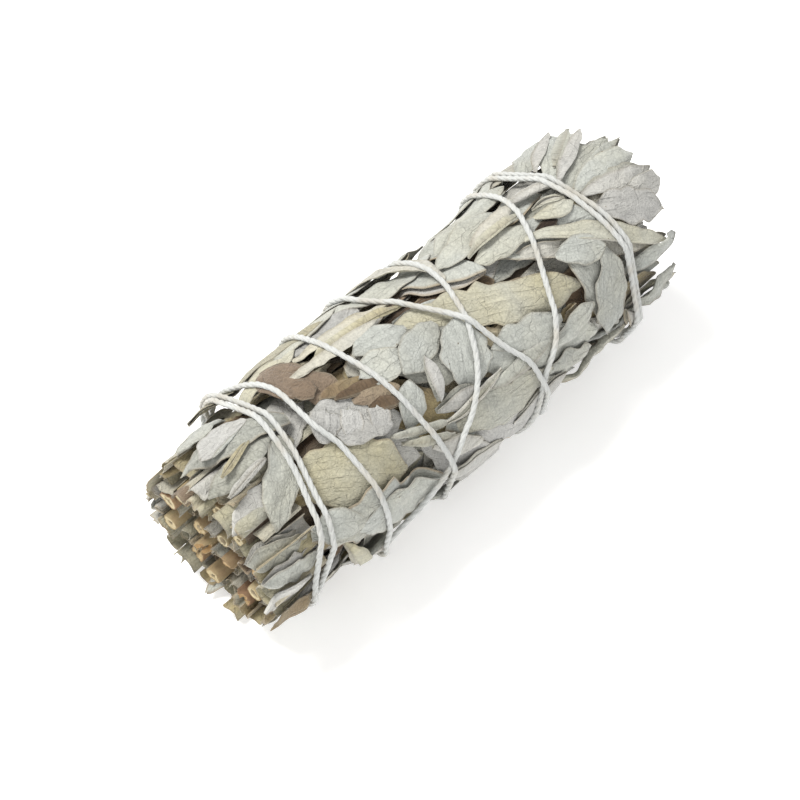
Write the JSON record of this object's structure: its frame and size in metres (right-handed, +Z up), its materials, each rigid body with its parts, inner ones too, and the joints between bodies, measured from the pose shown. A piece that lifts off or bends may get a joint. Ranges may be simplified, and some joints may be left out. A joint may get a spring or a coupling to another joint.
{
  "type": "sage smudge stick",
  "caption": "Bundle of dried white sage sprigs lying on its side, bound along its length with criss-crossed cotton string, with cut stems at one end and leaf tips at the other.",
  "frame": {"origin": "centre of the bounding box in plan, on the surface that the bundle lies on", "axes": "+X along the bundle from its cut stems to its leaf tips, +Z up"},
  "size_m": [0.1054, 0.0418, 0.0375],
  "materials": {
    "dried_leaf": "dry felted leaf, grey-green white",
    "woody_stem": "dry bark with pale pith",
    "cotton_string": "soft twisted cotton"
  },
  "bodies": {
    "root": {"binding_string": "cotton_string", "sprig_01": "dried_leaf", "sprig_02": "dried_leaf", "sprig_03": "dried_leaf", "sprig_04": "dried_leaf", "sprig_05": "dried_leaf", "sprig_06": "dried_leaf", "sprig_07": "dried_leaf", "sprig_08": "dried_leaf", "sprig_09": "dried_leaf", "sprig_10": "dried_leaf", "sprig_11": "dried_leaf", "sprig_12": "dried_leaf", "sprig_13": "dried_leaf", "sprig_14": "dried_leaf", "stem_01": "woody_stem", "stem_02": "woody_stem", "stem_03": "woody_stem", "stem_04": "woody_stem", "stem_05": "woody_stem", "stem_06": "woody_stem", "stem_07": "woody_stem", "stem_08": "woody_stem", "stem_09": "woody_stem", "stem_10": "woody_stem", "stem_11": "woody_stem", "stem_12": "woody_stem", "stem_13": "woody_stem", "stem_14": "woody_stem"}
  },
  "joints": []
}
